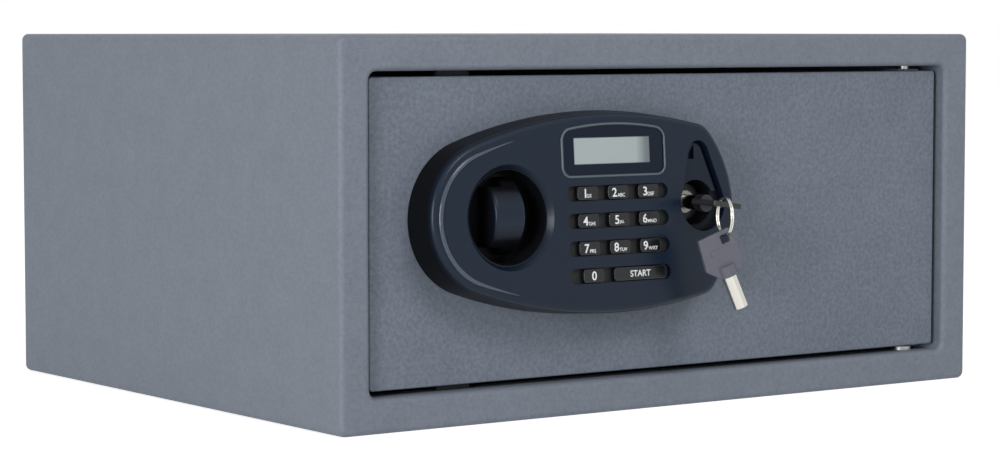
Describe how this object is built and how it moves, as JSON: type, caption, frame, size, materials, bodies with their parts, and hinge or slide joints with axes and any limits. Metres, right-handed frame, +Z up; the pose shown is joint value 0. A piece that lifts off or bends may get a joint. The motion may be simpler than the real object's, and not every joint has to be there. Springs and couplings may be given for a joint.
{
  "type": "safe deposit box",
  "caption": "Steel safe deposit box with a hinged door, sliding bolts, a keypad and knob panel, and an override lock with its keys.",
  "frame": {"origin": "middle of the base, on the surface the box stands on", "axes": "+Z up, -Y towards the door at the front, +X to the right seen from the front"},
  "size_m": [0.43, 0.4014, 0.2],
  "materials": {
    "grey_powder_coat": "fine textured powder coat",
    "black_powder_coat": "fine textured powder coat",
    "carpet": "needle-felt",
    "zinc_steel": "zinc plated",
    "bright_steel": "turned and polished",
    "brass": "turned",
    "copper_coil": "enamelled winding",
    "circuit_board": "solder-masked board",
    "black_abs": "moulded, fine spark texture",
    "battery_wrap": "shrink sleeve",
    "nickel": "nickel plated",
    "chrome": "polished chrome plate",
    "slate_abs": "moulded, satin",
    "black_rubber": "moulded silicone",
    "dark_lens": "tinted acrylic with a clear window",
    "display_glass": "liquid-crystal glass",
    "black_pvc": "insulated leads",
    "key_head_metal": "grey painted zinc",
    "red_plastic": "moulded",
    "keycap_plastic": "moulded, printed in white"
  },
  "bodies": {
    "safe_body": {"body_shell": "grey_powder_coat", "back_panel": "grey_powder_coat", "floor_mat": "carpet", "door_stops": "grey_powder_coat", "hinge_pins": "zinc_steel", "hinge_washer": "zinc_steel"},
    "door": {"door_plate": "grey_powder_coat", "hinge_blocks": "grey_powder_coat", "lock_cover": "black_powder_coat", "cover_screws": "zinc_steel", "bolt_guides": "zinc_steel", "guide_studs": "zinc_steel", "spindle_bush": "brass", "solenoid_frame": "zinc_steel", "solenoid_coil": "copper_coil", "plunger_spring": "zinc_steel", "board_standoffs": "zinc_steel", "main_board": "circuit_board", "battery_tray": "black_abs", "batteries": "battery_wrap", "battery_contacts": "nickel", "lock_cylinder": "chrome", "lock_nut": "zinc_steel", "panel_housing": "slate_abs", "panel_screws": "zinc_steel", "keypad_board": "circuit_board", "keypad_mat": "black_rubber", "display_window": "dark_lens", "display_module": "display_glass", "wiring_harness": "black_pvc"},
    "knob_body": {"knob": "slate_abs", "spindle": "zinc_steel", "crank_disc": "zinc_steel"},
    "bolt_work": {"bolt_carrier": "zinc_steel", "bolts": "bright_steel"},
    "plunger_body": {"plunger": "zinc_steel"},
    "link_body": {"release_link": "zinc_steel"},
    "core_body": {"lock_core": "nickel", "release_cam": "zinc_steel"},
    "inserted_key": {"inserted_key_shank": "nickel", "inserted_key_head": "key_head_metal"},
    "ring_body": {"key_ring": "nickel"},
    "spare_key": {"spare_key_shank": "nickel", "spare_key_head": "key_head_metal"},
    "shutter_body": {"shutter": "slate_abs"},
    "battery_cover_body": {"battery_cover": "black_abs"},
    "reset_body": {"reset_button": "red_plastic"},
    "keypad_1_body": {"keypad_1": "keycap_plastic"},
    "keypad_2_body": {"keypad_2": "keycap_plastic"},
    "keypad_3_body": {"keypad_3": "keycap_plastic"},
    "keypad_4_body": {"keypad_4": "keycap_plastic"},
    "keypad_5_body": {"keypad_5": "keycap_plastic"},
    "keypad_6_body": {"keypad_6": "keycap_plastic"},
    "keypad_7_body": {"keypad_7": "keycap_plastic"},
    "keypad_8_body": {"keypad_8": "keycap_plastic"},
    "keypad_9_body": {"keypad_9": "keycap_plastic"},
    "keypad_0_body": {"keypad_0": "keycap_plastic"},
    "keypad_start_body": {"keypad_start": "keycap_plastic"}
  },
  "joints": [
    {"name": "door_swing", "type": "hinge", "parent": "safe_body", "child": "door", "pos_m": [0.177, -0.161, 0.1], "axis": [0, 0, 1], "range_deg": [0, 100]},
    {"name": "knob_turn", "type": "hinge", "parent": "door", "child": "knob_body", "pos_m": [-0.121, -0.1713, 0.107], "axis": [0, -1, 0], "range_deg": [0, 90]},
    {"name": "bolts_slide", "type": "slide", "parent": "door", "child": "bolt_work", "axis": [-1, 0, 0], "range_m": [0, 0.02]},
    {"name": "plunger_slide", "type": "slide", "parent": "door", "child": "plunger_body", "axis": [1, 0, 0], "range_m": [-0.005, 0]},
    {"name": "lock_turn", "type": "hinge", "parent": "door", "child": "core_body", "pos_m": [0.002, -0.178, 0.1105], "axis": [0, -1, 0], "range_deg": [0, 90]},
    {"name": "link_slide", "type": "slide", "parent": "door", "child": "link_body", "axis": [1, 0, 0], "range_m": [0, 0.005]},
    {"name": "key_pull", "type": "slide", "parent": "core_body", "child": "inserted_key", "axis": [0, -1, 0], "range_m": [0, 0.03]},
    {"name": "ring_swing", "type": "hinge", "parent": "inserted_key", "child": "ring_body", "pos_m": [-0.00195, -0.21587, 0.11464], "axis": [-0.2924, -0.9563, 0], "range_deg": [-20, 20]},
    {"name": "spare_swing", "type": "hinge", "parent": "ring_body", "child": "spare_key", "pos_m": [-0.00195, -0.21587, 0.09464], "axis": [-0.2924, -0.9563, 0], "range_deg": [-40, 40]},
    {"name": "shutter_slide", "type": "slide", "parent": "door", "child": "shutter_body", "axis": [0, -0.0698, -0.9976], "range_m": [0, 0.008]},
    {"name": "battery_cover_off", "type": "slide", "parent": "door", "child": "battery_cover_body", "axis": [0, 1, 0], "range_m": [0, 0.03]},
    {"name": "reset_press", "type": "slide", "parent": "door", "child": "reset_body", "axis": [0, -1, 0], "range_m": [0, 0.002], "stiffness_N_per_m": 300},
    {"name": "keypad_1_press", "type": "slide", "parent": "door", "child": "keypad_1_body", "axis": [0, 0.9976, -0.0698], "range_m": [0, 0.0008], "stiffness_N_per_m": 800},
    {"name": "keypad_2_press", "type": "slide", "parent": "door", "child": "keypad_2_body", "axis": [0, 0.9976, -0.0698], "range_m": [0, 0.0008], "stiffness_N_per_m": 800},
    {"name": "keypad_3_press", "type": "slide", "parent": "door", "child": "keypad_3_body", "axis": [0, 0.9976, -0.0698], "range_m": [0, 0.0008], "stiffness_N_per_m": 800},
    {"name": "keypad_4_press", "type": "slide", "parent": "door", "child": "keypad_4_body", "axis": [0, 0.9976, -0.0698], "range_m": [0, 0.0008], "stiffness_N_per_m": 800},
    {"name": "keypad_5_press", "type": "slide", "parent": "door", "child": "keypad_5_body", "axis": [0, 0.9976, -0.0698], "range_m": [0, 0.0008], "stiffness_N_per_m": 800},
    {"name": "keypad_6_press", "type": "slide", "parent": "door", "child": "keypad_6_body", "axis": [0, 0.9976, -0.0698], "range_m": [0, 0.0008], "stiffness_N_per_m": 800},
    {"name": "keypad_7_press", "type": "slide", "parent": "door", "child": "keypad_7_body", "axis": [0, 0.9976, -0.0698], "range_m": [0, 0.0008], "stiffness_N_per_m": 800},
    {"name": "keypad_8_press", "type": "slide", "parent": "door", "child": "keypad_8_body", "axis": [0, 0.9976, -0.0698], "range_m": [0, 0.0008], "stiffness_N_per_m": 800},
    {"name": "keypad_9_press", "type": "slide", "parent": "door", "child": "keypad_9_body", "axis": [0, 0.9976, -0.0698], "range_m": [0, 0.0008], "stiffness_N_per_m": 800},
    {"name": "keypad_0_press", "type": "slide", "parent": "door", "child": "keypad_0_body", "axis": [0, 0.9976, -0.0698], "range_m": [0, 0.0008], "stiffness_N_per_m": 800},
    {"name": "keypad_start_press", "type": "slide", "parent": "door", "child": "keypad_start_body", "axis": [0, 0.9976, -0.0698], "range_m": [0, 0.0008], "stiffness_N_per_m": 800}
  ],
  "couplings": [
    {"joint": "bolts_slide", "follows": "knob_turn", "m_per_rad": 0.01273},
    {"joint": "link_slide", "follows": "lock_turn", "m_per_rad": 0.00318}
  ]
}
